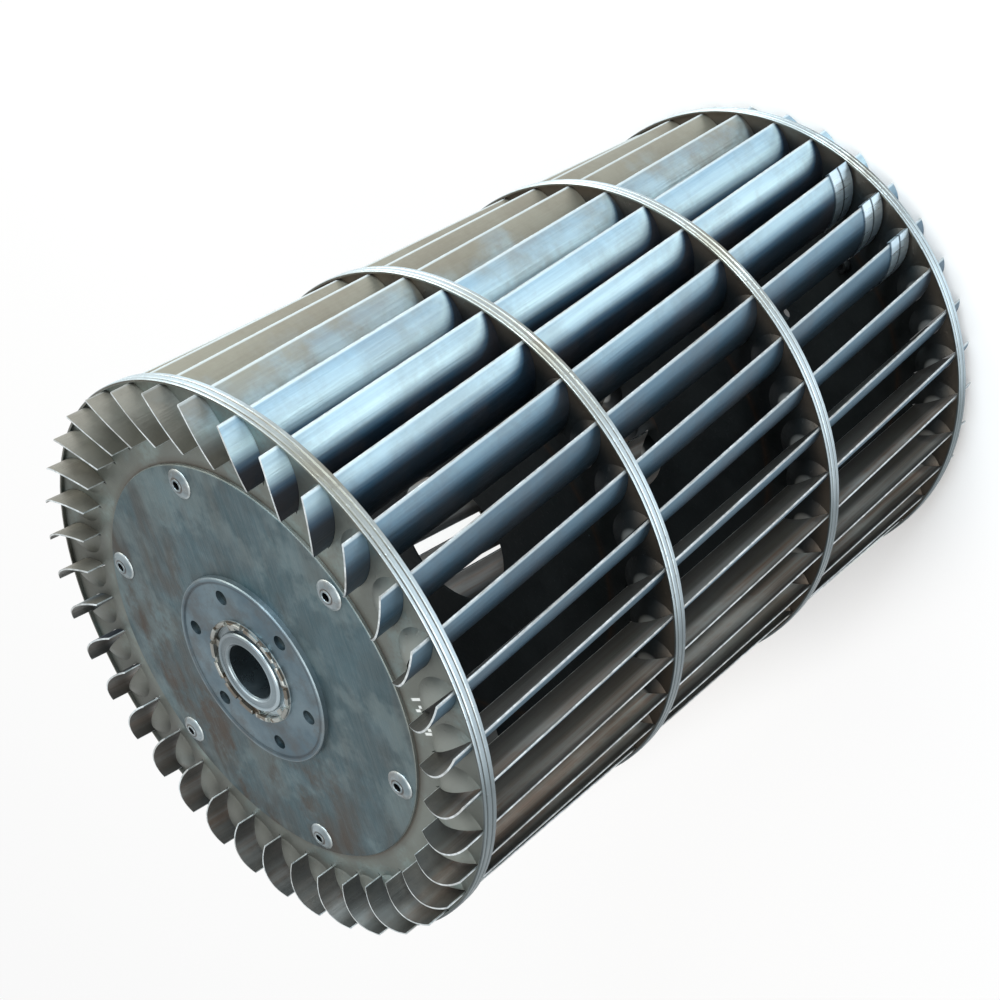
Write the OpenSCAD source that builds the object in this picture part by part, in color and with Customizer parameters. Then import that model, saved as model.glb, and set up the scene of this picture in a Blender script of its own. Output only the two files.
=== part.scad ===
// Blower wheel of sheet steel with long curved blades held by four slotted ring plates.
// It stands on the rear ends of its blades, its axis is +Z and its riveted hub face is on top.
// All sizes are in millimetres and all angles in degrees.

/* [Wheel] */
// Diameter over the blade tips
wheel_d = 250; // [200:1:320]
// Number of blades
blade_count = 36; // [30:1:38]
// Distance from one ring plate to the next
ring_pitch = 116; // [80:1:160]
// Length of a blade's outer corner above the first rim
stick_front = 8.4; // [6:0.2:14]
// Length of a blade's outer corner below the last rim
stick_rear = 7.5; // [6.5:0.5:12]
// Turn of the blades from one ring plate to the next
skew = 4.34; // [0:0.01:6]
// Angle of the first blade at the first rim, counted from the first rivet
blade_phase = 3.9; // [0:0.1:9.9]

/* [Blades] */
// Straight width of a blade from edge to edge
blade_chord = 26.6; // [22:0.1:28]
// Depth of the blade's curve
blade_depth = 4.3; // [3:0.1:6]
// Angle between the chord and the wheel's radius
blade_lean = 26; // [20:0.5:30]
// Height of the rounded end of a blade
blade_bow = 3; // [1:0.1:5]
// Thickness of the blade sheet
blade_t = 0.8; // [0.5:0.1:1.2]

/* [Ring plates] */
// Thickness of the plate sheet
plate_t = 1; // [0.8:0.1:1.2]
// Diameter of the hole in the two middle plates
plate_hole_d = 62; // [56:1:80]
// Width of the rolled rim
rim_w = 6.5; // [5:0.1:10]
// Thickness of the rolled rim
rim_t = 1.1; // [0.8:0.1:2]
// Step from the rim's front edge down to the plate
rim_lip = 1.5; // [1:0.1:2.5]
// Depth of the two grooves rolled into the rim
groove_depth = 0.5; // [0.2:0.1:0.6]
// Length of the raised brow beside each blade
brow_len = 24; // [20:0.5:25]
// Reach of the brow from the slot over the plate
brow_w = 9; // [6:0.1:9.5]
// Height of the brow above the plate
brow_h = 3.6; // [2:0.1:5]

/* [Hub plates] */
// Diameter of the hub disc
disc_d = 182; // [176:1:190]
// Thickness of the hub disc
disc_t = 1.5; // [1:0.1:2.5]
// Diameter of the small hub flange
flange_d = 86; // [80:1:100]
// Thickness of the hub flange
flange_t = 2; // [1.5:0.1:3]
// Pitch circle of the flange holes
hole_pcd = 68; // [62:1:72]
// Diameter of the flange holes
hole_d = 6.6; // [5:0.1:8]
// Number of flange holes
hole_count = 6; // [3:1:8]

/* [Bush] */
// Diameter of the shaft bore
bore_d = 25; // [15:0.5:28]
// Outside diameter of the bush
bush_d = 37; // [34:0.5:38]
// Length of the bush behind the hub disc
bush_len = 26; // [15:1:40]
// Height of the bush above the hub disc
bush_rise = 3.8; // [3.5:0.1:5]

/* [Rivets] */
// Pitch circle of the rivets
rivet_pcd = 166; // [160:1:168]
// Number of rivets
rivet_count = 6; // [4:1:12]
// Shank diameter of the rivets
rivet_d = 6.4; // [4.8:0.1:8]
// Head diameter of the rivets
rivet_head_d = 13; // [10:0.5:14]
// Height of the rivet heads
rivet_head_h = 2.2; // [1.5:0.1:3]
// Hole left in a rivet by its pulled pin
rivet_core_d = 3.6; // [2:0.1:4]

/* [Balance clips] */
// Number of neighbouring blades with a pair of clips
clip_blades = 3; // [1:1:4]
// Width of one clip along the blade
clip_w = 8.5; // [6:0.1:12]
// Thickness of the clip's spring steel
clip_t = 0.5; // [0.3:0.1:0.8]
// Length of the clip's hook behind each blade edge
clip_hook = 2.4; // [1.5:0.1:4]

/* [Hidden] */
slot_gap = 0.2;
rim_gap = 0.1;
pin_gap = 0.1;
clip_gap = 0.12;
clip_space = 0.4;
edge_break = 0.4;
bore_break = 1;
through = 120;
through_end = 2;
end_shift = 1.8;
ring_count = 4;
slice_count = 5;
arc_steps = 10;
$fn = 96;

tip_r = wheel_d / 2;
skew_per_mm = skew / ring_pitch;
blade_step = 360 / blade_count;

// Round end of a blade: its radius, the shift of its highest point, and the drop of the near and far corner
end_r = (blade_chord * blade_chord / 4 + blade_bow * blade_bow) / (2 * blade_bow);
near_drop = end_r - sqrt(pow(end_r, 2) - pow(blade_chord / 2 - end_shift, 2));
far_drop = end_r - sqrt(pow(end_r, 2) - pow(blade_chord / 2 + end_shift, 2));
rear_ring_z = far_drop + stick_rear + rim_w;
front_ring_z = rear_ring_z + (ring_count - 1) * ring_pitch;
blade_len = front_ring_z + stick_front + near_drop;

// Blade arc: radius, half angle and place of its centre
arc_r = (blade_chord * blade_chord / 4 + blade_depth * blade_depth) / (2 * blade_depth);
arc_half = asin(blade_chord / 2 / arc_r);
chord_out = tip_r - blade_t / 2;
chord_mid = [chord_out - blade_chord / 2 * cos(blade_lean), -blade_chord / 2 * sin(blade_lean)];
arc_mid = chord_mid + (arc_r - blade_depth) * [-sin(blade_lean), cos(blade_lean)];
slot_x = (arc_r - blade_t / 2) * cos(arc_half) - slot_gap;
slot_r = arc_r + blade_t / 2 + slot_gap;

// Brow: shift and depth of its ball's centre, radius of its foot and of the ball, and of the cut under it
brow_shift = (brow_len * brow_len / 4 - brow_w * brow_w) / (2 * brow_w);
brow_sink = (brow_len * brow_len / 4 - brow_h * brow_h) / (2 * brow_h);
brow_foot = brow_shift + brow_w;
brow_ball = sqrt(pow(brow_foot, 2) + pow(brow_sink, 2));
brow_top_r = sqrt(pow(brow_ball + plate_t, 2) - pow(brow_sink + plate_t, 2));
brow_cut_r = (brow_foot + brow_top_r) / 2;

// Faces of the end plates that the hub discs rest on
plate_top = front_ring_z - rim_lip;
rear_plate_under = rear_ring_z - rim_lip - plate_t;

// Bush shoulder and the staked neck of the flange around it
shoulder_w = 2.9;
shoulder_t = 1.4;
shoulder_r = bush_d / 2 + shoulder_w;
neck_in_r = shoulder_r + pin_gap;
neck_t = 2;
neck_h = 1.8;
neck_bite = 0.3;
neck_notches = 14;
notch_w = 2.4;
notch_deep = 1.1;
stake_count = 7;
stake_w = 4.2;
stake_h = 0.9;
flange_lip_w = 2;
flange_lip_h = 0.5;

end_hole_d = bush_d + 2 * pin_gap;
rivet_hole_d = rivet_d + 2 * pin_gap;
bulb_swell = 1.2;
bulb_len = 4;

blade_names = [for (i = [1:blade_count]) str("blade_", i < 10 ? "0" : "", i)];
clip_names = [for (i = [1:2 * clip_blades]) str("balance_clip_", i)];
ring_names = ["front_ring", "middle_ring_upper", "middle_ring_lower", "rear_ring"];

// Turn of the blades at height z
function turn_at(z) = (front_ring_z - z) * skew_per_mm;

function point_at(r, a) = [r * cos(a), r * sin(a)];

function arc_points(r, half, steps) = [for (i = [0:steps]) point_at(r, -half + 2 * half * i / steps)];

// Section of a blade in its own frame, with the arc's centre at the origin
module blade_section() {
    inside = arc_points(arc_r - blade_t / 2, arc_half, arc_steps);
    outside = arc_points(arc_r + blade_t / 2, arc_half, arc_steps);
    polygon(concat(outside, [for (i = [arc_steps:-1:0]) inside[i]]));
}

// Puts a section of the blade's own frame at its place in the wheel
module at_blade(i) {
    rotate([0, 0, blade_phase + (i - 1) * blade_step])
        translate([arc_mid[0], arc_mid[1], 0])
            rotate([0, 0, blade_lean - 90])
                children();
}

// One blade, a curved strip that runs the whole length, turns with the ring plates and has round ends
module blade(i) {
    color([0.66, 0.7, 0.72])
        difference() {
            rotate([0, 0, turn_at(0)])
                linear_extrude(height = blade_len, twist = skew_per_mm * blade_len,
                    slices = slice_count, segments = 1)
                    at_blade(i) blade_section();
            translate([0, 0, blade_len])
                rotate([0, 0, turn_at(blade_len)])
                    at_blade(i) end_waste(end_shift);
            rotate([0, 0, turn_at(0)])
                at_blade(i) mirror([0, 0, 1]) end_waste(-end_shift);
        }
}

// What is cut off above a blade's round end, its highest point at height 0
module end_waste(shift) {
    x = (arc_r - blade_t) * cos(arc_half) - through_end;
    w = arc_r + blade_t + through_end - x;
    difference() {
        translate([x, -blade_chord, -far_drop - through_end])
            cube([w, 2 * blade_chord, far_drop + 2 * through_end]);
        translate([x - through_end, shift, -end_r])
            rotate([0, 90, 0]) cylinder(r = end_r, h = w + 2 * through_end);
    }
}

// Open D-shaped slot between a blade's arc and its chord
module slot_shape() {
    intersection() {
        circle(r = slot_r);
        translate([slot_x, -slot_r]) square([slot_r, 2 * slot_r]);
    }
}

// Raised brow along the chord side of a slot, cut open towards the blade
module brow() {
    intersection() {
        translate([slot_x + brow_shift, 0, -brow_sink])
            difference() {
                sphere(r = brow_ball + plate_t);
                sphere(r = brow_ball);
            }
        translate([slot_x - 2 * brow_ball, -brow_ball, 0])
            cube([2 * brow_ball, 2 * brow_ball, 2 * brow_ball]);
    }
}

// Round cut below a brow, on the chord side only
module brow_cut() {
    intersection() {
        translate([slot_x + brow_shift, 0, -plate_t]) cylinder(r = brow_cut_r, h = 3 * plate_t);
        translate([slot_x - 2 * brow_ball, -brow_ball, -plate_t])
            cube([2 * brow_ball, 2 * brow_ball, 3 * plate_t]);
    }
}

// Rolled rim with two grooves and a low bead between them, its front edge at height 0
module rim() {
    r0 = tip_r + rim_gap;
    r1 = r0 + rim_t;
    rg = r1 - groove_depth;
    rb = r1 + groove_depth / 5;
    u = rim_w / 12;
    rotate_extrude()
        polygon([[r0, 0], [r1 - groove_depth / 2, 0], [r1, -u / 2], [r1, -2 * u], [rg, -3 * u],
            [rb, -4 * u], [rb, -7 * u], [rg, -8 * u], [r1, -9 * u],
            [r1, -11 * u - u / 2], [r1 - groove_depth / 2, -rim_w], [r0, -rim_w]]);
}

// Ring plate with its slots, brows, middle hole and rim; level is the height of the rim's front edge
module ring_plate(level, hole, riveted) {
    turn = turn_at(level - rim_lip - plate_t / 2);
    r0 = tip_r + rim_gap;
    color([0.5, 0.54, 0.54])
        translate([0, 0, level])
            rotate([0, 0, turn]) {
                rim();
                translate([0, 0, -rim_lip - plate_t]) {
                    difference() {
                        cylinder(r = r0 + rim_t / 3, h = plate_t);
                        translate([0, 0, -plate_t]) cylinder(d = hole, h = 3 * plate_t);
                        intersection() {
                            translate([0, 0, -plate_t])
                                linear_extrude(height = 3 * plate_t)
                                    for (i = [1:blade_count]) at_blade(i) slot_shape();
                            translate([0, 0, -2 * plate_t]) cylinder(r = r0 + rim_t / 6, h = 5 * plate_t);
                        }
                        for (i = [1:blade_count]) at_blade(i) brow_cut();
                        if (riveted)
                            rotate([0, 0, -turn]) {
                                ring_of_holes(rivet_count, rivet_pcd, rivet_hole_d);
                                ring_of_holes(hole_count, hole_pcd, hole_d);
                            }
                    }
                    for (i = [1:blade_count]) at_blade(i) brow();
                }
            }
}

// Through holes on a pitch circle, the first one on the X axis
module ring_of_holes(count, pcd, d) {
    for (i = [0:count - 1])
        rotate([0, 0, i * 360 / count])
            translate([pcd / 2, 0, -through / 2])
                cylinder(d = d, h = through);
}

// Hub disc with its rolled edge, resting on a ring plate at height 0
module hub_disc() {
    r = disc_d / 2;
    color([0.36, 0.44, 0.47])
        difference() {
            rotate_extrude()
                polygon([[bush_d / 2 + pin_gap, 0], [r, 0], [r, disc_t - edge_break],
                    [r - edge_break, disc_t], [bush_d / 2 + pin_gap, disc_t]]);
            ring_of_holes(rivet_count, rivet_pcd, rivet_hole_d);
            ring_of_holes(hole_count, hole_pcd, hole_d);
        }
}

// Hub flange: raised edge, staked neck around the bush and its ring of holes
module hub_flange() {
    r = flange_d / 2;
    neck_top = flange_t + neck_h;
    color([0.45, 0.53, 0.58])
        translate([0, 0, disc_t])
            difference() {
                union() {
                    rotate_extrude()
                        polygon([[neck_in_r, 0], [r, 0], [r, flange_t], [r - edge_break, flange_t + flange_lip_h],
                            [r - flange_lip_w, flange_t + flange_lip_h],
                            [r - flange_lip_w - flange_lip_h, flange_t],
                            [neck_in_r + neck_t + edge_break, flange_t],
                            [neck_in_r + neck_t, flange_t + edge_break],
                            [neck_in_r + neck_t, neck_top - edge_break],
                            [neck_in_r + neck_t - edge_break, neck_top],
                            [neck_in_r + edge_break, neck_top], [neck_in_r, neck_top - edge_break]]);
                    stakes();
                }
                neck_cuts(neck_top);
                ring_of_holes(hole_count, hole_pcd, hole_d);
            }
}

// Teeth of the neck pressed inwards over the bush's shoulder
module stakes() {
    reach = neck_in_r - bush_d / 2 - pin_gap + neck_bite;
    for (i = [0:stake_count - 1])
        rotate([0, 0, (i + 0.25) * 360 / stake_count])
            translate([bush_d / 2 + pin_gap + edge_break, -stake_w / 2, shoulder_t])
                cube([reach - edge_break, stake_w, stake_h]);
}

// Notches in the top edge of the neck
module neck_cuts(top) {
    for (i = [0:neck_notches - 1])
        rotate([0, 0, (i + 0.5) * 360 / neck_notches])
            translate([neck_in_r - neck_bite, -notch_w / 2, top - notch_deep])
                cube([neck_t + 2 * neck_bite, notch_w, 2 * notch_deep]);
}

// Turned bush with its shoulder, its two front beads and the shaft bore
module hub_bush() {
    r = bush_d / 2;
    top = disc_t + bush_rise;
    mouth = bore_d / 2 + bore_break;
    step = (r - mouth) / 4;
    color([0.72, 0.75, 0.76])
        difference() {
            rotate_extrude()
                polygon([[bore_d / 4, -plate_t - bush_len], [r - bore_break, -plate_t - bush_len],
                    [r, bore_break - plate_t - bush_len], [r, disc_t], [shoulder_r, disc_t],
                    [shoulder_r, disc_t + shoulder_t], [r, disc_t + shoulder_t],
                    [r, top - 2 * edge_break], [r - edge_break, top - edge_break / 2],
                    [r - 2 * edge_break, top], [r - step, top], [r - 1.5 * step, top - edge_break],
                    [mouth + step, top - edge_break], [mouth + step / 2, top - edge_break / 2],
                    [bore_d / 4, top - edge_break / 2]]);
            translate([0, 0, -through / 2]) cylinder(d = bore_d, h = through);
            translate([0, 0, top - edge_break / 2 - bore_break])
                cylinder(r1 = bore_d / 2, r2 = mouth + bore_break, h = 2 * bore_break);
            translate([0, 0, -plate_t - bush_len - bore_break])
                cylinder(r1 = mouth + bore_break, r2 = bore_d / 2, h = 2 * bore_break);
        }
}

// Pulled rivets: domed head on the disc, shank, and the bulb behind the plate
module hub_rivets() {
    head_r = rivet_head_d / 2;
    core_r = rivet_core_d / 2;
    ball = (head_r * head_r + rivet_head_h * rivet_head_h) / (2 * rivet_head_h);
    bulb_r = rivet_d / 2 + bulb_swell;
    color([0.62, 0.66, 0.68])
        for (i = [0:rivet_count - 1])
            rotate([0, 0, i * 360 / rivet_count])
                translate([rivet_pcd / 2, 0, 0])
                    rotate_extrude() {
                        intersection() {
                            translate([0, disc_t + rivet_head_h - ball]) circle(r = ball);
                            translate([core_r, disc_t]) square([head_r, rivet_head_h]);
                        }
                        translate([core_r, -plate_t - bulb_swell])
                            square([rivet_d / 2 - core_r, plate_t + disc_t + 2 * bulb_swell]);
                        polygon([[core_r, -plate_t], [bulb_r - edge_break, -plate_t],
                            [bulb_r, -plate_t - bulb_swell], [rivet_d / 2, -plate_t - bulb_len],
                            [core_r, -plate_t - bulb_len]]);
                    }
}

// Section of a clip that hugs a blade's outer curve and hooks over both its edges
module clip_section() {
    skin = blade_t / 2 + clip_gap;
    near_edge = arc_half + (clip_gap / arc_r) * 180 / PI;
    far_edge = near_edge + (clip_t / arc_r) * 180 / PI;
    hook = near_edge - (clip_hook / arc_r) * 180 / PI;
    outer = arc_points(arc_r + skin + clip_t, far_edge, arc_steps);
    inner = arc_points(arc_r + skin, near_edge, arc_steps);
    polygon(concat(outer,
        [point_at(arc_r - skin - clip_t, far_edge), point_at(arc_r - skin - clip_t, hook),
         point_at(arc_r - skin, hook), point_at(arc_r - skin, near_edge)],
        [for (i = [arc_steps:-1:0]) inner[i]],
        [point_at(arc_r - skin, -near_edge), point_at(arc_r - skin, -hook),
         point_at(arc_r - skin - clip_t, -hook), point_at(arc_r - skin - clip_t, -far_edge)]));
}

// One balance clip; clips stand in pairs on neighbouring blades in front of the last ring
module balance_clip(n) {
    blade_no = blade_count - 1 + floor((n - 1) / 2);
    level = rear_ring_z + clip_space + ((n - 1) % 2) * (clip_w + clip_space);
    color([0.6, 0.68, 0.74])
        translate([0, 0, level])
            rotate([0, 0, turn_at(level)])
                linear_extrude(height = clip_w, twist = skew_per_mm * clip_w, slices = 1, segments = 1)
                    at_blade(blade_no) clip_section();
}

// Places a hub piece on the front ring plate, or turned over under the rear one
module front_hub() {
    translate([0, 0, plate_top]) children();
}

module rear_hub() {
    translate([0, 0, rear_plate_under]) mirror([0, 0, 1]) children();
}

for (i = [1:blade_count])
    blade(i);
for (i = [1:len(clip_names)])
    balance_clip(i);
ring_plate(front_ring_z, end_hole_d, true);  // front_ring
ring_plate(front_ring_z - ring_pitch, plate_hole_d, false);  // middle_ring_upper
ring_plate(front_ring_z - 2 * ring_pitch, plate_hole_d, false);  // middle_ring_lower
ring_plate(rear_ring_z, end_hole_d, true);  // rear_ring
front_hub() hub_disc();  // front_disc
rear_hub() hub_disc();  // rear_disc
front_hub() hub_flange();  // front_flange
rear_hub() hub_flange();  // rear_flange
front_hub() hub_bush();  // front_bush
rear_hub() hub_bush();  // rear_bush
front_hub() hub_rivets();  // front_rivets
rear_hub() hub_rivets();  // rear_rivets
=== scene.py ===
"""Looks of the blower wheel: blades, zinc coated plates, hub, studio and camera.

Lengths are in metres and the frame is the wheel's own: it stands on the rear ends of its blades,
+Z runs along the axis to the front hub, and +X goes through a rivet of the front disc.
"""
import math

import bpy
import numpy as np
from mathutils import Matrix, Vector


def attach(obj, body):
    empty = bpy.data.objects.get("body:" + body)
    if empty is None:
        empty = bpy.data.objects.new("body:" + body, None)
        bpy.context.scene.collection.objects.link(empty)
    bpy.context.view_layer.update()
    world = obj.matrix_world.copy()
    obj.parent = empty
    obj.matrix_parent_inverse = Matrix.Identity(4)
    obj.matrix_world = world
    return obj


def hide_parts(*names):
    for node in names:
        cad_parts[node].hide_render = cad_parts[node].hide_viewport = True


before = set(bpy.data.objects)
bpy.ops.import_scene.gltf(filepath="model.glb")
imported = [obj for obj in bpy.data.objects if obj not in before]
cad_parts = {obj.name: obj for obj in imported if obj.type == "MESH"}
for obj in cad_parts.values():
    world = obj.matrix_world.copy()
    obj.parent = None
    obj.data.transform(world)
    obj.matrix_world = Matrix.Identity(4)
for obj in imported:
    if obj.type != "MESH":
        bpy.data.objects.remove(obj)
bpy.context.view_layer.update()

# ---------------------------------------------------------------- sizes of the wheel
MM = 0.001
WHEEL_R = 125 * MM
BLADES = 36
STEP = 2 * math.pi / BLADES
RING_PITCH = 116 * MM
RIM_W = 6.5 * MM
RIM_LIP = 1.5 * MM
STICK_FRONT, STICK_REAR = 8.4 * MM, 7.5 * MM
SKEW = math.radians(4.34) / RING_PITCH
PHASE = math.radians(3.9)
CHORD = 26.6 * MM
DEPTH = 4.3 * MM
LEAN = math.radians(26)
BOW, BOW_SHIFT = 3 * MM, 1.8 * MM
SHEET = 0.8 * MM
PLATE_T, DISC_T = 1 * MM, 1.5 * MM
ARC_R = (CHORD * CHORD / 4 + DEPTH * DEPTH) / (2 * DEPTH)
ARC_HALF = math.asin(CHORD / 2 / ARC_R)
END_R = (CHORD * CHORD / 4 + BOW * BOW) / (2 * BOW)


def end_drop(y):
    """Fall of a blade's round end at distance y from its highest point: a circle of radius END_R."""
    return END_R - np.sqrt(END_R * END_R - y * y)


REAR_RING_Z = end_drop(CHORD / 2 + BOW_SHIFT) + STICK_REAR + RIM_W
FRONT_RING_Z = REAR_RING_Z + 3 * RING_PITCH
LENGTH = FRONT_RING_Z + STICK_FRONT + end_drop(CHORD / 2 - BOW_SHIFT)


def arc_centre():
    """Centre of the blade's arc: half a chord in from the tip, then back by radius less depth."""
    mid = np.array([WHEEL_R - SHEET / 2 - CHORD / 2 * math.cos(LEAN), -CHORD / 2 * math.sin(LEAN)])
    return mid + (ARC_R - DEPTH) * np.array([-math.sin(LEAN), math.cos(LEAN)])


# ---------------------------------------------------------------- meshes
def mesh_object(name, points, faces, sharp):
    """Object at the origin from a point array and a list of faces, smooth below the sharp angle in
    degrees, or flat throughout where that is 0."""
    mesh = bpy.data.meshes.new(name)
    mesh.from_pydata(points.tolist(), [], faces)
    mesh.update()
    if sharp:
        mesh.shade_smooth()
        mesh.set_sharp_from_angle(angle=math.radians(sharp))
    obj = bpy.data.objects.new(name, mesh)
    bpy.context.scene.collection.objects.link(obj)
    return obj


def lay_map(obj, name, values):
    """UV map from one value pair for each point."""
    mesh = obj.data
    corner = np.empty(len(mesh.loops), dtype=np.int32)
    mesh.loops.foreach_get("vertex_index", corner)
    layer = mesh.uv_layers.new(name=name)
    layer.data.foreach_set("uv", values[corner].astype(np.float32).ravel())


# points along each arc of a blade's outline, points around each of its edges, rows along the blade,
# and how far each blade's drawn streaks are shifted against its neighbour's
ARC_POINTS, EDGE_POINTS, BLADE_ROWS = 24, 4, 57
STREAK_SHIFT = 0.211


def blade_faces():
    """Quads between rows of closed outlines, then quads and small edge faces to close both ends.
    Also says which faces are the sheet's cut edges."""
    arc, edge = ARC_POINTS, EDGE_POINTS
    ring = 2 * (arc + edge)
    i = np.arange(BLADE_ROWS - 1)[:, None] * ring
    j = np.arange(ring)[None, :]
    k = (j + 1) % ring
    quads = np.stack([i + j, i + k, i + ring + k, i + ring + j], axis=-1).reshape(-1, 4)
    a = np.arange(arc - 1)
    back = 2 * arc + edge - 1 - a
    cap = np.stack([a, a + 1, back - 1, back], axis=-1)
    tip = list(range(arc - 1, arc + edge + 1))
    root = list(range(2 * arc + edge - 1, ring)) + [0]
    top = (BLADE_ROWS - 1) * ring
    low = [face[::-1] for face in cap.tolist() + [tip, root]]
    high = [[p + top for p in face] for face in cap.tolist() + [tip, root]]
    cut = (j >= arc - 1) & (j <= arc + edge - 1) | (j >= 2 * arc + edge - 1)
    cut = np.concatenate([np.broadcast_to(cut, (BLADE_ROWS - 1, ring)).ravel(), np.ones(2 * arc + 2, bool)])
    return quads.tolist() + low + high, cut


def blade_section():
    """Closed outline of the sheet: outer arc from root to tip, a half round edge, the inner arc
    back and the other half round edge. Point = arc centre + radius * (cos, sin). Also gives the
    place along the chord from -half to +half, 1 on the outer and 0 on the inner side, and the
    angle along the arc."""
    half = SHEET / 2
    trim = half / ARC_R
    far = ARC_HALF - trim
    a = np.linspace(-far, far, ARC_POINTS)
    e = np.linspace(0, math.pi, EDGE_POINTS + 2)[1:-1]
    r = np.concatenate([np.full(ARC_POINTS, ARC_R + half), ARC_R + half * np.cos(e),
                        np.full(ARC_POINTS, ARC_R - half), ARC_R - half * np.cos(e)])
    t = np.concatenate([a, far + trim * np.sin(e), a[::-1], -far - trim * np.sin(e)])
    side = np.concatenate([np.ones(ARC_POINTS), 1 - e / math.pi, np.zeros(ARC_POINTS), e / math.pi])
    p = np.stack([r * np.cos(t), r * np.sin(t)], axis=1)
    along = p[:, 1].copy()
    turn = LEAN - math.pi / 2
    c, s = math.cos(turn), math.sin(turn)
    return p @ np.array([[c, s], [-s, c]]) + arc_centre(), along, side, t


def blade_strip(number):
    """Blade as the section carried along Z between its two round ends: z runs from the rear end's
    curve to the front end's curve, and the section is turned by phase + (number - 1) * step + skew *
    (front ring - z). Gives points, faces, which are cut edges, the sheet map (arc length, z) and
    the place map (share of the chord, side)."""
    p, along, side, t = blade_section()
    low = end_drop(along + BOW_SHIFT)
    high = LENGTH - end_drop(along - BOW_SHIFT)
    u = np.linspace(0, 1, BLADE_ROWS)[:, None]
    z = low[None, :] * (1 - u) + high[None, :] * u
    a = PHASE + (number - 1) * STEP + SKEW * (FRONT_RING_Z - z)
    x = np.cos(a) * p[None, :, 0] - np.sin(a) * p[None, :, 1]
    y = np.sin(a) * p[None, :, 0] + np.cos(a) * p[None, :, 1]
    sheet = np.stack([np.broadcast_to(ARC_R * t + number * STREAK_SHIFT, z.shape), z], axis=-1)
    chord = np.broadcast_to(along / CHORD + 0.5, z.shape)
    place = np.stack([chord, np.broadcast_to(side, z.shape)], axis=-1)
    points = np.stack([x, y, z], axis=-1).reshape(-1, 3)
    return points, *blade_faces(), sheet.reshape(-1, 2), place.reshape(-1, 2)


RIVET_CIRCLE_R, RIVETS = 83 * MM, 6
# half profile of a pulled rivet, as (radius, height over the disc): core, ring, groove, head, shank, tail
RIVET_PROFILE = np.array([
    (1.80, 1.70), (1.95, 2.02), (2.20, 2.16), (2.50, 2.14), (2.72, 1.96), (2.84, 1.72), (3.05, 1.62),
    (3.40, 1.68), (3.90, 1.62), (4.50, 1.46), (5.10, 1.20), (5.70, 0.86), (6.20, 0.52), (6.44, 0.30),
    (6.50, 0.16), (6.44, 0.00), (3.20, 0.00), (3.20, -2.50), (4.05, -2.50), (4.40, -3.60),
    (4.20, -4.90), (3.20, -6.50), (1.80, -6.50), (1.80, -2.00)]) * MM


def rivet_set(name, level, side, around=48):
    """Rivets as one closed profile (radius, height) turned about each rivet's axis. side is 1 for
    the front and -1 for the rear, where the height counts downwards. Its map holds the profile in
    centimetres."""
    count = len(RIVET_PROFILE)
    r, h = RIVET_PROFILE[:, 0], RIVET_PROFILE[:, 1]
    a = np.arange(around)[:, None] * 2 * math.pi / around
    z = np.broadcast_to(level + side * h, (around, count))
    ring = np.stack([r * np.cos(a), r * np.sin(a), z], axis=-1)
    i, j = np.arange(around)[:, None] * count, np.arange(count)[None, :]
    k, l = (i + count) % (around * count), (j + 1) % count
    quads = np.stack([i + j, k + j, k + l, i + l], axis=-1).reshape(-1, 4)[:, ::-side]
    turn = np.arange(RIVETS) * 2 * math.pi / RIVETS
    shift = np.stack([RIVET_CIRCLE_R * np.cos(turn), RIVET_CIRCLE_R * np.sin(turn), 0 * turn], axis=-1)
    points = (ring.reshape(1, -1, 3) + shift[:, None, :]).reshape(-1, 3)
    faces = (quads[None] + (np.arange(RIVETS) * around * count)[:, None, None]).reshape(-1, 4)
    piece = mesh_object(name, points, faces.tolist(), sharp=50)
    lay_map(piece, "turning", np.tile(RIVET_PROFILE / MM / 10, (around * RIVETS, 1)))
    return piece


# ---------------------------------------------------------------- shader helpers
def put(tree, kind, values=None, **settings):
    """Adds a node, sets its settings, and sets or links its inputs by name or number."""
    made = tree.nodes.new(kind)
    for key, value in settings.items():
        setattr(made, key, value)
    for key, value in (values or {}).items():
        if isinstance(value, bpy.types.NodeSocket):
            tree.links.new(value, made.inputs[key])
        else:
            made.inputs[key].default_value = value
    return made


def use(tree, group, **values):
    """Places a shared effect and sets or links its inputs by name."""
    return put(tree, "ShaderNodeGroup", values, node_tree=group).outputs


def maths(tree, job, a, b=0.0, c=0.0):
    """One sum, named as Blender's Math node names it."""
    return put(tree, "ShaderNodeMath", {0: a, 1: b, 2: c}, operation=job).outputs[0]


def plus(tree, a, b):
    return maths(tree, "ADD", a, b)


def less(tree, a, b):
    return maths(tree, "SUBTRACT", a, b)


def times(tree, a, b):
    return maths(tree, "MULTIPLY", a, b)


def parts_of(tree, vector):
    """The three coordinates of a vector."""
    return put(tree, "ShaderNodeSeparateXYZ", {0: vector}).outputs


def own_map(tree, name):
    """One of the piece's own UV maps."""
    return put(tree, "ShaderNodeUVMap", uv_map=name).outputs[0]


def stretched(tree, vector, by):
    """A vector times another, coordinate by coordinate."""
    return put(tree, "ShaderNodeVectorMath", {0: vector, 1: by}, operation="MULTIPLY").outputs[0]


def blend(tree, amount, under, over):
    """Mix of two colours: amount 0 gives the one under, and 1 the one over."""
    under, over = ((*tone, 1) if isinstance(tone, tuple) else tone for tone in (under, over))
    return put(tree, "ShaderNodeMix", {0: amount, 6: under, 7: over}, data_type="RGBA").outputs[2]


def lay(tree, mask, share, under, over):
    """A colour laid over another by a share of a mask."""
    return blend(tree, times(tree, mask, share), under, over)


def between(tree, value, low, high, out_low=0.0, out_high=1.0):
    """Smooth step: out_low where the value is at low or beyond it, out_high at high or beyond it."""
    return put(tree, "ShaderNodeMapRange", {0: value, 1: low, 2: high, 3: out_low, 4: out_high},
               interpolation_type="SMOOTHSTEP").outputs[0]


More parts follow.
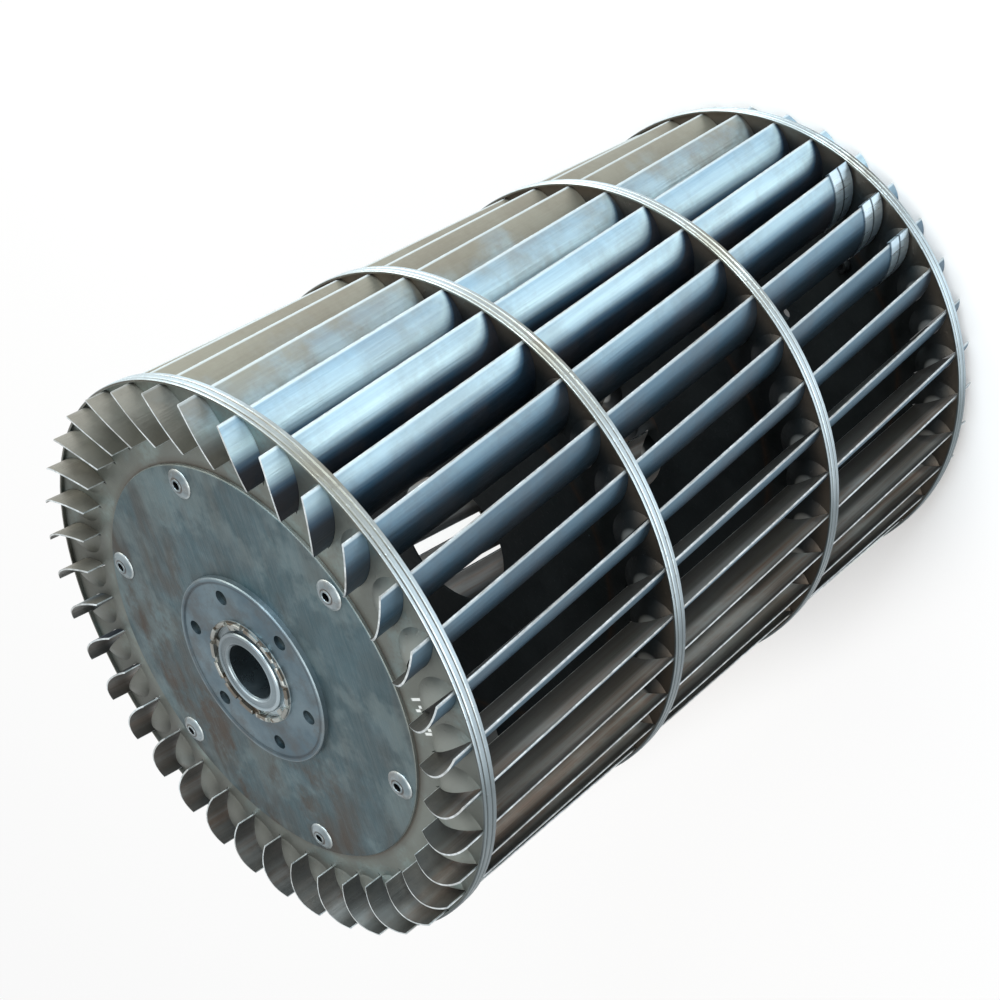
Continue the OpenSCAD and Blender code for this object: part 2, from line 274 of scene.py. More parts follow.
def steps(tree, value, stops):
    """Grey curve: pairs of place and brightness along 0 to 1."""
    ramp = put(tree, "ShaderNodeValToRGB", {0: value})
    band = ramp.color_ramp
    band.interpolation = "EASE"
    band.elements[0].position, band.elements[1].position = stops[0][0], stops[-1][0]
    for place, _ in stops[1:-1]:
        band.elements.new(place)
    for element, (_, grey) in zip(band.elements, stops):
        element.color = (grey, grey, grey, 1)
    return ramp.outputs[0]


def new_group(name, outputs, **numbers):
    """Empty shader group that takes a place and the given numbers, and puts out values by name."""
    group = bpy.data.node_groups.new(name, "ShaderNodeTree")
    group.interface.new_socket("Place", in_out="INPUT", socket_type="NodeSocketVector")
    for label, value in numbers.items():
        socket = group.interface.new_socket(label, in_out="INPUT", socket_type="NodeSocketFloat")
        socket.default_value = value
    for label in outputs:
        group.interface.new_socket(label, in_out="OUTPUT", socket_type="NodeSocketFloat")
    return group, put(group, "NodeGroupInput").outputs, put(group, "NodeGroupOutput").inputs


# ---------------------------------------------------------------- shared effects
# Noise stays mostly between 0.3 and 0.7, so a smooth step over such a window spreads it to 0 and 1.
def make_streaks():
    """Fine lines of drawn sheet: noise with Across and Along waves to the metre, so that it is
    stretched along the second coordinate. Broad is the same at a coarser scale."""
    g, i, o = new_group("drawn streaks", ("Fine", "Broad"), Across=900.0, Along=18.0)
    scale = put(g, "ShaderNodeCombineXYZ", {0: i["Across"], 1: i["Along"], 2: 1.0}).outputs[0]
    flat = stretched(g, i["Place"], scale)
    fine = put(g, "ShaderNodeTexNoise", {"Vector": flat, "Scale": 1.0, "Detail": 4.0, "Roughness": 0.65})
    wide = stretched(g, flat, (0.18, 0.5, 1.0))
    broad = put(g, "ShaderNodeTexNoise", {"Vector": wide, "Scale": 1.0, "Detail": 2.0})
    g.links.new(between(g, fine.outputs[0], 0.32, 0.7), o["Fine"])
    g.links.new(between(g, broad.outputs[0], 0.35, 0.68), o["Broad"])
    return g


def make_mottle():
    """Zinc flower and cloudy patches: cells of about the given size, pushed out of shape by noise,
    and soft noise of twice that size."""
    g, i, o = new_group("zinc mottle", ("Cells", "Clouds"), Size=0.012)
    scale = maths(g, "DIVIDE", 1.0, i["Size"])
    bend = put(g, "ShaderNodeTexNoise", {"Vector": i["Place"], "Scale": scale, "Detail": 3.0})
    push = stretched(g, bend.outputs[1], (0.012, 0.012, 0.012))
    moved = put(g, "ShaderNodeVectorMath", {0: i["Place"], 1: push}, operation="ADD").outputs[0]
    cells = put(g, "ShaderNodeTexVoronoi", {"Vector": moved, "Scale": times(g, scale, 1.6)})
    grey = put(g, "ShaderNodeSeparateColor", {0: cells.outputs["Color"]}).outputs[0]
    clouds = put(g, "ShaderNodeTexNoise", {"Vector": i["Place"], "Scale": times(g, scale, 0.45),
                                           "Detail": 5.0, "Roughness": 0.6})
    g.links.new(grey, o["Cells"])
    g.links.new(between(g, clouds.outputs[0], 0.36, 0.66), o["Clouds"])
    return g


def make_grime():
    """Soil in patches of about the given size: coarse noise sets where, and fine noise breaks the
    edge. Level is its share of the surface. Specks are the peaks of the fine noise."""
    g, i, o = new_group("grime", ("Cover", "Specks"), Size=0.03, Level=0.4)
    scale = maths(g, "DIVIDE", 1.0, i["Size"])
    coarse = put(g, "ShaderNodeTexNoise", {"Vector": i["Place"], "Scale": scale, "Detail": 6.0,
                                           "Roughness": 0.62})
    fine = put(g, "ShaderNodeTexNoise", {"Vector": i["Place"], "Scale": times(g, scale, 14.0),
                                         "Detail": 3.0})
    edge = less(g, 0.78, times(g, i["Level"], 0.5))
    both = plus(g, coarse.outputs[0], times(g, fine.outputs[0], 0.16))
    g.links.new(between(g, both, less(g, edge, 0.1), plus(g, edge, 0.14)), o["Cover"])
    g.links.new(between(g, fine.outputs[0], 0.6, 0.75), o["Specks"])
    return g


def make_wheel_place():
    """Where a point sits on the wheel: Radius from the axis, and how far it lies towards +Y (Side)
    and +X (Near), each from -1 to 1."""
    g, i, o = new_group("wheel place", ("Radius", "Side", "Near"))
    part = parts_of(g, i["Place"])
    flat = plus(g, times(g, part[0], part[0]), times(g, part[1], part[1]))
    radius = maths(g, "MAXIMUM", maths(g, "SQRT", flat), 0.001)
    g.links.new(radius, o["Radius"])
    g.links.new(maths(g, "DIVIDE", part[1], radius), o["Side"])
    g.links.new(maths(g, "DIVIDE", part[0], radius), o["Near"])
    return g


STREAKS, MOTTLE, GRIME, WHEEL = make_streaks(), make_mottle(), make_grime(), make_wheel_place()


def open_material(name):
    """New material: itself, its tree, its shader and the place on the object."""
    mat = bpy.data.materials.new(name)
    mat.use_nodes = True
    tree = mat.node_tree
    return mat, tree, tree.nodes["Principled BSDF"], put(tree, "ShaderNodeTexCoord").outputs["Object"]


def close_material(tree, shader, colour, rough, height, depth, metal):
    """Feeds colour and roughness, and the bump from a height mask of the given depth."""
    tree.links.new(colour, shader.inputs["Base Color"])
    tree.links.new(rough, shader.inputs["Roughness"])
    shader.inputs["Metallic"].default_value = metal
    bump = put(tree, "ShaderNodeBump", {"Height": height, "Strength": 0.5, "Distance": depth})
    tree.links.new(bump.outputs[0], shader.inputs["Normal"])


# ---------------------------------------------------------------- finishes
# Colours are linear. Two in one name are the ends of a range, which clouds or streaks run through.
BROWN_SOIL = (0.13, 0.085, 0.055)

# painted reflection on the outer face: the blue and the pale of its band
BLUE_SHEEN, PALE_SHEEN = (0.075, 0.20, 0.345), (0.65, 0.87, 0.95)
# painted shade: navy towards the root, dark blue towards -Y
NAVY_SHADE, SHADED_BLUE = (0.008, 0.020, 0.036), (0.055, 0.105, 0.150)
# painted warm reflection on the +Y side
BEIGE_REFLECTION = (0.262, 0.250, 0.198)
TIP_ZINC = (0.70, 0.80, 0.84)
HOLLOW_ZINC = (0.60, 0.635, 0.615), (0.92, 0.97, 0.96)
HOLLOW_SHADE = (0.090, 0.094, 0.091)
RUST = (0.42, 0.25, 0.16)
# beyond the front plate: painted shade on the inner face, and a darker brownish tone on the outer face
HOLLOW_END_SHADE = (0.030, 0.033, 0.032), (0.078, 0.073, 0.063)
OUTER_END_TONE = (0.12, 0.117, 0.102), (0.215, 0.21, 0.185)

# curves along the blade's chord, from the root at 0 to the tip at 1: the painted reflection band, the
# painted shade towards the root, the pale line along the tip, and the painted lit band of the inner face
BAND_SHINE = (0.0, 0.0), (0.37, 0.05), (0.51, 0.66), (0.63, 1.0), (0.8, 0.66), (1.0, 0.42)
BAND_LIT = (0.0, 0.0), (0.26, 0.04), (0.41, 0.58), (0.54, 1.0), (1.0, 1.0)
TIP_PALE_LINE = (0.0, 0.0), (0.955, 0.0), (0.98, 0.6), (1.0, 0.7)
HOLLOW_LIT = (0.0, 0.0), (0.3, 0.1), (0.5, 0.72), (0.63, 1.0), (0.77, 0.5), (0.9, 0.1), (1.0, 0.1)

# what changes with how far a blade lies towards +Y, each as (from, to, value at from, value at to):
# where the painted reflection band lies, how pale it is, the share of painted shade in dark blue and the
# share of painted warm reflection in beige
BAND_PLACE = 0.15, 0.75, -0.26, 0.16
BAND_LEVEL = -0.05, 0.45, 0.3, 1.0
SHADED_BLUE_SHARE = 0.32, -0.1, 0.0, 0.6
BEIGE_REFLECTION_SHARE = 0.58, 0.85, 0.0, 0.97

# above each plate the pale band moves towards the tip by this share of the chord, and back within
# about this height, which leaves painted shade in the corner. The height counts from just under the plate's
# face, so that no sliver stays pale.
CORNER_SHIFT, CORNER_REACH, CORNER_MARGIN = 0.95, 3.9 * MM, 0.3 * MM
BELOW_FRONT_RING = FRONT_RING_Z - 4 * MM, FRONT_RING_Z - 3 * MM, 1.0, 0.0
FRONT_END_ZONE = FRONT_RING_Z - 6 * MM, FRONT_RING_Z + 1 * MM


def blade_finish():
    """Zinc coated strip. Outer face: painted reflection, a pale band on blue, all of it painted warm
    reflection in beige towards +Y and painted shade in dark blue towards -Y. The band moves along the chord
    with the blade's place on the wheel, and leaves painted shade in the corner above each plate. Inner
    face: dull, with one painted lit band between painted shade, and rust streaks. Beyond the front plate
    the inner face takes painted shade, and the outer face towards +Y a darker brownish tone."""
    mat, tree, shader, place = open_material("blade zinc")
    sheet = own_map(tree, "sheet")
    where = parts_of(tree, own_map(tree, "place"))
    chord, outer = where[0], between(tree, where[1], 0.55, 0.95)
    streak = use(tree, STREAKS, Place=sheet)
    mottle = use(tree, MOTTLE, Place=place, Size=16 * MM)
    soil = use(tree, GRIME, Place=place, Size=45 * MM, Level=0.42)
    wheel = use(tree, WHEEL, Place=place)
    height_up = parts_of(tree, place)[2]

    # painted shade in the corner above each plate: the band slides off over the tip there
    above = less(tree, height_up, REAR_RING_Z - RIM_LIP - CORNER_MARGIN)
    above = maths(tree, "FLOORED_MODULO", above, RING_PITCH)
    fall = maths(tree, "EXPONENT", maths(tree, "DIVIDE", above, -CORNER_REACH))
    corner = times(tree, times(tree, fall, CORNER_SHIFT), between(tree, height_up, *BELOW_FRONT_RING))
    shift = less(tree, between(tree, wheel["Side"], *BAND_PLACE), corner)
    band = plus(tree, chord, shift)

    # painted reflection: a pale band on blue along the chord, paler towards +Y
    shine = steps(tree, band, BAND_SHINE)
    shine = plus(tree, shine, times(tree, less(tree, streak["Fine"], 0.5), 0.14))
    shine = times(tree, shine, between(tree, wheel["Side"], *BAND_LEVEL))
    face = blend(tree, shine, BLUE_SHEEN, PALE_SHEEN)
    # painted shade towards the root
    face = blend(tree, steps(tree, band, BAND_LIT), NAVY_SHADE, face)
    # painted shade: dark blue towards -Y
    face = blend(tree, between(tree, wheel["Side"], *SHADED_BLUE_SHARE), face, SHADED_BLUE)
    # painted warm reflection: beige over the whole outer face towards +Y, its edge broken by clouds
    warm = between(tree, plus(tree, wheel["Side"], times(tree, mottle["Clouds"], 0.12)), *BEIGE_REFLECTION_SHARE)
    face = blend(tree, warm, face, BEIGE_REFLECTION)
    face = lay(tree, soil["Cover"], 0.22, face, BROWN_SOIL)
    # a pale line along the tip edge
    face = blend(tree, steps(tree, chord, TIP_PALE_LINE), face, TIP_ZINC)

    hollow = blend(tree, times(tree, streak["Broad"], 0.6), *HOLLOW_ZINC)
    long_streak = use(tree, STREAKS, Place=sheet, Across=260.0, Along=7.0)
    old = use(tree, GRIME, Place=place, Size=55 * MM, Level=0.56)
    rusty = times(tree, long_streak["Fine"], old["Cover"])
    hollow = lay(tree, rusty, 0.85, hollow, RUST)
    # painted lit band across the inner face, with painted shade towards root and tip
    lit = steps(tree, chord, HOLLOW_LIT)
    lit = times(tree, lit, plus(tree, 0.56, times(tree, long_streak["Broad"], 0.7)))
    hollow = blend(tree, lit, HOLLOW_SHADE, hollow)

    # beyond the front plate: painted shade on the inner face, and a darker brownish tone on the outer face
    # towards +Y
    end = between(tree, height_up, *FRONT_END_ZONE)
    hollow = lay(tree, end, 0.8, hollow, blend(tree, mottle["Clouds"], *HOLLOW_END_SHADE))
    end_tone = blend(tree, mottle["Clouds"], *OUTER_END_TONE)
    face = lay(tree, times(tree, end, warm), 0.85, face, end_tone)

    colour = blend(tree, outer, hollow, face)
    rough = plus(tree, 0.39, times(tree, plus(tree, streak["Broad"], soil["Cover"]), 0.09))
    height = plus(tree, streak["Fine"], times(tree, mottle["Clouds"], 2.0))
    close_material(tree, shader, colour, rough, height, depth=0.12 * MM, metal=0.65)
    return mat


CUT_STEEL = (0.44, 0.49, 0.51), (0.80, 0.86, 0.88)
EDGE_SOIL = (0.22, 0.20, 0.17)


def edge_finish():
    """Sheared edge of the blade sheet: bright, with short nicks of soil along it."""
    mat, tree, shader, place = open_material("cut edge")
    nick = use(tree, STREAKS, Place=own_map(tree, "sheet"), Across=300.0, Along=260.0)
    soil = use(tree, GRIME, Place=place, Size=30 * MM, Level=0.4)
    colour = blend(tree, nick["Fine"], *CUT_STEEL)
    colour = lay(tree, soil["Cover"], 0.5, colour, EDGE_SOIL)
    rough = between(tree, nick["Broad"], 0.0, 1.0, 0.28, 0.45)
    close_material(tree, shader, colour, rough, nick["Fine"], depth=0.05 * MM, metal=0.8)
    return mat


# pale strokes on the front plate: centre and half length in millimetres, then half width and turn of all
PALE_STROKES = (((86.2, -49.2), 2.9), ((85.3, -52.3), 0.9), ((82.9, -53.0), 1.5), ((80.9, -61.1), 1.1),
          ((78.9, -62.1), 2.2))
STROKE_HALF_W = 0.65
STROKE_TURN = math.radians(-20.6)


def pale_strokes(tree, place):
    """Short pale strokes on a plate: each is 1 where both of its own coordinates, counted in its half
    length and half width, stay below 1, with a soft edge."""
    cover = 0.0
    for (x, y), reach in PALE_STROKES:
        own = put(tree, "ShaderNodeMapping",
                  {"Vector": place, "Location": (x * MM, y * MM, 0.0), "Rotation": (0.0, 0.0, STROKE_TURN),
                   "Scale": (reach * MM, STROKE_HALF_W * MM, 1.0)}, vector_type="TEXTURE").outputs[0]
        part = parts_of(tree, own)
        far = maths(tree, "MAXIMUM", maths(tree, "ABSOLUTE", part[0]), maths(tree, "ABSOLUTE", part[1]))
        cover = maths(tree, "MAXIMUM", cover, between(tree, far, 0.7, 1.15, 1.0, 0.0))
    return cover


PLATE_ZINC, PLATE_LIGHT = (0.140, 0.188, 0.184), (0.262, 0.322, 0.304)
ZINC_FLOWER = (0.24, 0.29, 0.31)
# painted highlights: on the brows, and on the brows' edges inside the wheel
BROW_HIGHLIGHT, BROW_EDGE_HIGHLIGHT = (0.34, 0.365, 0.34), (0.52, 0.53, 0.51)
# painted shade among the blades on the -X side
MINUS_X_SHADE = (0.070, 0.062, 0.052)
# painted shade inside the wheel: near black inwards, brown near the rim
INNER_PLATE_SHADE = (0.012, 0.016, 0.020), (0.085, 0.066, 0.050)
# brown soil and painted shadow at the hub disc's edge
DISC_EDGE_SOIL_AND_SHADOW = (0.07, 0.04, 0.025)
STROKE_WHITE = (0.80, 0.84, 0.83)
# painted shade in the rim's grooves, the rim's bright zinc, and painted shade on its -Y side
GROOVE_SHADE, RIM_BRIGHT, RIM_SHADE = (0.075, 0.07, 0.06), (0.56, 0.68, 0.75), (0.085, 0.105, 0.11)
# brown-grey tones for a stretch of the rim
RIM_BROWN, REAR_RIM_BROWN = (0.22, 0.215, 0.18), (0.12, 0.115, 0.095)

# radii on a plate, and heights over it, between which its finish changes
DISC_SEAM = 88 * MM, 96 * MM
AMONG_BLADES = 94 * MM, 104 * MM
NEAR_RIM = 114 * MM, 124.5 * MM
ON_RIM = 125.1 * MM, 125.4 * MM
RIM_GROOVE = 125.75 * MM, 126.22 * MM
BROW_RISE, BROW_EDGE = (0.4 * MM, 3.4 * MM), (2.8 * MM, 3.5 * MM)
# how the painted shade among the blades deepens towards -X: (from, to, value at from, value at to)
MINUS_X_SHADE_SHARE = 0.0, -0.75, 0.0, 0.45

# brown soil and painted shadow across DISC_SEAM, at the hub disc's edge
DISC_EDGE_SOIL_AND_SHADOW_CURVE = (0.0, 0.0), (0.38, 0.75), (0.6, 0.35), (1.0, 0.0)
# brown-grey stretch and painted shade of the rim, from the -Y side at 0 to the +Y side at 1
RIM_BROWN_STRETCH = ((0.0, 0.0), (0.36, 0.0), (0.44, 0.25), (0.52, 0.62), (0.63, 0.9), (0.72, 0.62), (0.85, 0.08),
            (1.0, 0.25))
RIM_SHADED_STRETCH = (0.0, 0.85), (0.13, 0.8), (0.2, 0.42), (0.27, 0.2), (0.32, 0.0), (1.0, 0.0)


def ring_finish(name, level, dark=0.0, rim_brown=RIM_BROWN, marked=False):
    """Slotted plate: dull zinc with soil, painted shade among the blades on its -X side, brown soil and
    painted shadow at the hub disc's edge, a painted highlight on the brows, and a bright rim with painted
    shade in its grooves, a brown-grey stretch and painted shade towards -Y. level is the height of the
    rim's upper edge. dark is how far the plate goes black with painted shade, as inside the wheel, where
    painted highlights stay on the brows' edges. A marked plate has the pale strokes."""
    mat, tree, shader, place = open_material(name)
    mottle = use(tree, MOTTLE, Place=place, Size=14 * MM)
    soil = use(tree, GRIME, Place=place, Size=22 * MM, Level=0.62)
    wheel = use(tree, WHEEL, Place=place)
    radius = wheel["Radius"]
    z = parts_of(tree, place)[2]
    top = level - RIM_LIP
    raised = between(tree, z, *(top + rise for rise in BROW_RISE))

    plate = lay(tree, mottle["Clouds"], 0.6, PLATE_ZINC, PLATE_LIGHT)
    plate = lay(tree, mottle["Cells"], 0.14, plate, ZINC_FLOWER)
    plate = lay(tree, soil["Cover"], 0.38, plate, BROWN_SOIL)
    # painted highlight on the raised brows
    plate = lay(tree, raised, 0.5, plate, BROW_HIGHLIGHT)
    # painted shade among the blades, deeper towards -X
    minus_x_shade = times(tree, between(tree, radius, *AMONG_BLADES), between(tree, wheel["Near"], *MINUS_X_SHADE_SHARE))
    plate = blend(tree, minus_x_shade, plate, MINUS_X_SHADE)
    if dark:
        # painted shade inside the wheel, with painted highlights on the brows' edges
        plate = blend(tree, dark, plate, blend(tree, between(tree, radius, *NEAR_RIM), *INNER_PLATE_SHADE))
        brow_edge = between(tree, z, *(top + rise for rise in BROW_EDGE))
        plate = lay(tree, brow_edge, 0.75, plate, BROW_EDGE_HIGHLIGHT)
    # brown soil and painted shadow at the hub disc's edge
    seam = steps(tree, between(tree, radius, *DISC_SEAM), DISC_EDGE_SOIL_AND_SHADOW_CURVE)
    plate = lay(tree, seam, 0.7, plate, DISC_EDGE_SOIL_AND_SHADOW)
    if marked:
        plate = blend(tree, pale_strokes(tree, place), plate, STROKE_WHITE)

    # painted shade in the rim's grooves
    rim = blend(tree, between(tree, radius, *RIM_GROOVE), GROOVE_SHADE, RIM_BRIGHT)
    around = maths(tree, "MULTIPLY_ADD", wheel["Side"], 0.5, 0.5)
    # a brown-grey stretch of the rim
    brown_stretch = steps(tree, around, RIM_BROWN_STRETCH)
    brown_stretch = times(tree, brown_stretch, plus(tree, times(tree, soil["Cover"], 0.3), 0.78))
    rim = blend(tree, brown_stretch, rim, rim_brown)
    # painted shade on the rim's -Y side
    rim = blend(tree, steps(tree, around, RIM_SHADED_STRETCH), rim, RIM_SHADE)

    on_rim = between(tree, radius, *ON_RIM)
    colour = blend(tree, on_rim, plate, rim)
    rough = plus(tree, 0.38, times(tree, plus(tree, soil["Cover"], mottle["Clouds"]), 0.12))
    rough = less(tree, rough, times(tree, on_rim, 0.14))
    height = plus(tree, times(tree, mottle["Clouds"], 1.6), soil["Specks"])
    close_material(tree, shader, colour, rough, height, depth=0.2 * MM, metal=0.85)
    return mat


DISC_ZINC, DISC_LIGHT = (0.042, 0.084, 0.100), (0.165, 0.215, 0.220)
DISC_BLUE, DISC_SCRATCH = (0.085, 0.15, 0.18), (0.30, 0.33, 0.33)
DISC_STAIN, DISC_EDGE_HIGHLIGHT = (0.066, 0.056, 0.047), (0.38, 0.38, 0.34)
SCRATCH_TURN = 0.6
DISC_EDGE = 90.5 * MM, 91.2 * MM
# how the stain thickens towards -X: (from, to, value at from, value at to)
STAIN_SHARE = 0.4, -0.5, 0.5, 1.25


def disc_finish():
    """Dark zinc disc: cloudy patches, fine scratches across it, brown soil that is thicker on the -X
    side and streaked along the scratches, and a painted highlight along its outer edge."""
    mat, tree, shader, place = open_material("disc zinc")
    mottle = use(tree, MOTTLE, Place=place, Size=20 * MM)
    small = use(tree, MOTTLE, Place=place, Size=6 * MM)
    soil = use(tree, GRIME, Place=place, Size=30 * MM, Level=0.57)
    turned = put(tree, "ShaderNodeMapping", {"Vector": place, "Rotation": (0, 0, SCRATCH_TURN)}).outputs[0]
    scratch = use(tree, STREAKS, Place=turned, Across=520.0, Along=60.0)
    wheel = use(tree, WHEEL, Place=place)
    patches = between(tree, plus(tree, mottle["Clouds"], times(tree, small["Clouds"], 0.35)), 0.35, 0.95)
    colour = lay(tree, patches, 0.6, DISC_ZINC, DISC_LIGHT)
    colour = lay(tree, small["Clouds"], 0.3, colour, DISC_BLUE)
    colour = lay(tree, scratch["Fine"], 0.10, colour, DISC_SCRATCH)
    stain = times(tree, soil["Cover"], plus(tree, times(tree, scratch["Broad"], 0.6), 0.25))
    stain = times(tree, stain, between(tree, wheel["Near"], *STAIN_SHARE))
    colour = lay(tree, stain, 0.95, colour, DISC_STAIN)
    # painted highlight along the disc's outer edge
    colour = lay(tree, between(tree, wheel["Radius"], *DISC_EDGE), 0.5, colour, DISC_EDGE_HIGHLIGHT)
    rough = plus(tree, 0.40, times(tree, plus(tree, mottle["Clouds"], stain), 0.12))
    height = plus(tree, scratch["Fine"], times(tree, small["Clouds"], 1.5))
    close_material(tree, shader, colour, rough, height, depth=0.12 * MM, metal=0.85)
    return mat


CLIP_STEEL = (0.46, 0.62, 0.74), (0.74, 0.90, 1.0)
# lines along the wheel, painted shade in the seam between clips, pale hooks
CLIP_LINE, CLIP_GAP_SHADE, CLIP_HOOK = (0.30, 0.42, 0.52), (0.05, 0.08, 0.11), (0.92, 0.97, 1.0)
# height of the seam between the two clips of a pair over the rear ring, half the seam's line of painted
# shade, the upper clip's edge of painted shade, and the radius inside which the hooks are bright
CLIP_SEAM = 9.1 * MM
SEAM_LINE = 0.5 * MM, 1.0 * MM
PAIR_EDGE = CLIP_SEAM * 2 - 1.4 * MM, CLIP_SEAM * 2 - 0.8 * MM
HOOK_START = 104 * MM, 103 * MM


def clip_finish():
    """Spring steel strip: smooth and bluish, with broad soft clouds, faint lines along the wheel, painted
    shade in the seam between the clips of a pair and at the upper clip's edge, and its hooks at the blades'
    roots pale."""
    mat, tree, shader, place = open_material("clip steel")
    mottle = use(tree, MOTTLE, Place=place, Size=30 * MM)
    soil = use(tree, GRIME, Place=place, Size=20 * MM, Level=0.15)
    line = use(tree, STREAKS, Place=place, Across=500.0, Along=500.0)
    wheel = use(tree, WHEEL, Place=place)
    colour = blend(tree, mottle["Clouds"], *CLIP_STEEL)
    colour = lay(tree, line["Broad"], 0.18, colour, CLIP_LINE)
    colour = lay(tree, soil["Cover"], 0.4, colour, BROWN_SOIL)
    up = less(tree, parts_of(tree, place)[2], REAR_RING_Z)
    seam = between(tree, maths(tree, "ABSOLUTE", less(tree, up, CLIP_SEAM)), *SEAM_LINE, 1.0, 0.0)
    edge = between(tree, up, *PAIR_EDGE)
    # painted shade in the seam between the clips and at the upper clip's edge
    colour = lay(tree, maths(tree, "MAXIMUM", seam, edge), 0.8, colour, CLIP_GAP_SHADE)
    colour = lay(tree, between(tree, wheel["Radius"], *HOOK_START), 0.8, colour, CLIP_HOOK)
    rough = plus(tree, 0.26, times(tree, plus(tree, soil["Cover"], line["Fine"]), 0.1))
    close_material(tree, shader, colour, rough, line["Fine"], depth=0.02 * MM, metal=0.9)
    return mat


FLANGE_STEEL = (0.060, 0.105, 0.135), (0.130, 0.185, 0.215)
# soil, painted shade in the crease, and painted highlight on the raised edge
FLANGE_SOIL, FLANGE_CREASE_SHADE, FLANGE_EDGE_HIGHLIGHT = (0.085, 0.075, 0.065), (0.025, 0.032, 0.038), (0.36, 0.41, 0.43)
NECK_STEEL = (0.10, 0.082, 0.062), (0.36, 0.385, 0.37)
# radii between which the flange's finish changes: neck, both sides of the crease, raised edge
NECK_FOOT = 23.4 * MM, 23.9 * MM
CREASE_IN, CREASE_OUT = (39.8 * MM, 40.6 * MM), (41.8 * MM, 41.1 * MM)
FLANGE_EDGE = 42.0 * MM, 42.6 * MM
NECK_PATCHES = (0.0, 0.0), (0.35, 0.1), (0.65, 0.7), (1.0, 1.0)


def flange_finish():
    """Pressed flange: slate blue with clouds, painted shade in the crease inside its raised edge, a painted
    highlight on that edge, and a staked neck whose pale metal alternates with brown around the bush."""
    mat, tree, shader, place = open_material("flange steel")
    mottle = use(tree, MOTTLE, Place=place, Size=14 * MM)
    small = use(tree, MOTTLE, Place=place, Size=9 * MM)
    soil = use(tree, GRIME, Place=place, Size=16 * MM, Level=0.35)
    radius = use(tree, WHEEL, Place=place)["Radius"]
    colour = blend(tree, mottle["Clouds"], *FLANGE_STEEL)
    colour = lay(tree, soil["Cover"], 0.5, colour, FLANGE_SOIL)
    crease = times(tree, between(tree, radius, *CREASE_IN), between(tree, radius, *CREASE_OUT))
    # painted shade in the crease inside the raised edge
    colour = lay(tree, crease, 0.6, colour, FLANGE_CREASE_SHADE)
    # painted highlight on the raised edge
    colour = lay(tree, between(tree, radius, *FLANGE_EDGE), 0.3, colour, FLANGE_EDGE_HIGHLIGHT)
    neck = between(tree, radius, *NECK_FOOT, 1.0, 0.0)
    staked = blend(tree, steps(tree, small["Cells"], NECK_PATCHES), *NECK_STEEL)
    colour = blend(tree, neck, colour, staked)
    rough = plus(tree, 0.33, times(tree, plus(tree, soil["Cover"], mottle["Clouds"]), 0.08))
    close_material(tree, shader, colour, rough, mottle["Clouds"], depth=0.1 * MM, metal=0.9)
    return mat


BUSH_STEEL = (0.10, 0.145, 0.17), (0.40, 0.485, 0.53)
BUSH_CLOUD, BUSH_SHADE = (0.17, 0.19, 0.19), (0.085, 0.10, 0.105)
# from inside the bore to outside the bush, and how pale the steel is between them
BORE_R, BUSH_R = 12 * MM, 19 * MM
BUSH_BANDS = (0.0, 0.15), (0.1, 0.2), (0.17, 0.95), (0.3, 0.4), (0.62, 0.25), (0.75, 0.9), (1.0, 1.0)
# how far painted shade darkens it towards +Y: (from, to, value at from, value at to)
BUSH_SHADE_SHARE = -0.6, 0.7, 0.0, 0.55
TURNING_MARKS = 9000.0


def bush_finish():
    """Turned bush: pale outer bead and mouth, a greyer groove between them, blue grey bore, painted shade
    towards +Y, and fine ring marks (waves of the radius)."""
    mat, tree, shader, place = open_material("bush steel")
    mottle = use(tree, MOTTLE, Place=place, Size=8 * MM)
    wheel = use(tree, WHEEL, Place=place)
    across = put(tree, "ShaderNodeMapRange", {0: wheel["Radius"], 1: BORE_R, 2: BUSH_R}).outputs[0]
    colour = blend(tree, steps(tree, across, BUSH_BANDS), *BUSH_STEEL)
    colour = lay(tree, mottle["Clouds"], 0.3, colour, BUSH_CLOUD)
    # painted shade towards +Y
    colour = blend(tree, between(tree, wheel["Side"], *BUSH_SHADE_SHARE), colour, BUSH_SHADE)
    wave = maths(tree, "SINE", times(tree, wheel["Radius"], TURNING_MARKS))
    rough = plus(tree, 0.25, times(tree, mottle["Clouds"], 0.12))
    close_material(tree, shader, colour, rough, times(tree, wave, 0.4), depth=0.1 * MM, metal=0.95)
    return mat


RIVET_STEEL = (0.17, 0.215, 0.235), (0.30, 0.35, 0.37)
RIVET_RUBBED, RIVET_SOIL = (0.50, 0.55, 0.56), (0.06, 0.05, 0.045)
# painted shade in the core's bore, and the dark tail
RIVET_BORE_SHADE, RIVET_INSIDE = (0.008, 0.009, 0.010), (0.025, 0.028, 0.030)
# curves along the rivet's radius, in centimetres
HEAD_RUBBED = (0.0, 0.0), (0.56, 0.0), (0.63, 0.7), (1.0, 0.7)
HEAD_GROOVE = (0.0, 0.0), (0.26, 0.0), (0.292, 0.85), (0.325, 0.7), (0.36, 0.0), (1.0, 0.0)
HEAD_CORE = (0.0, 1.0), (0.182, 1.0), (0.192, 0.0), (1.0, 0.0)
# the dark tail, by the height over the disc in centimetres
RIVET_TAIL = -0.05, -0.2, 0.0, 0.93


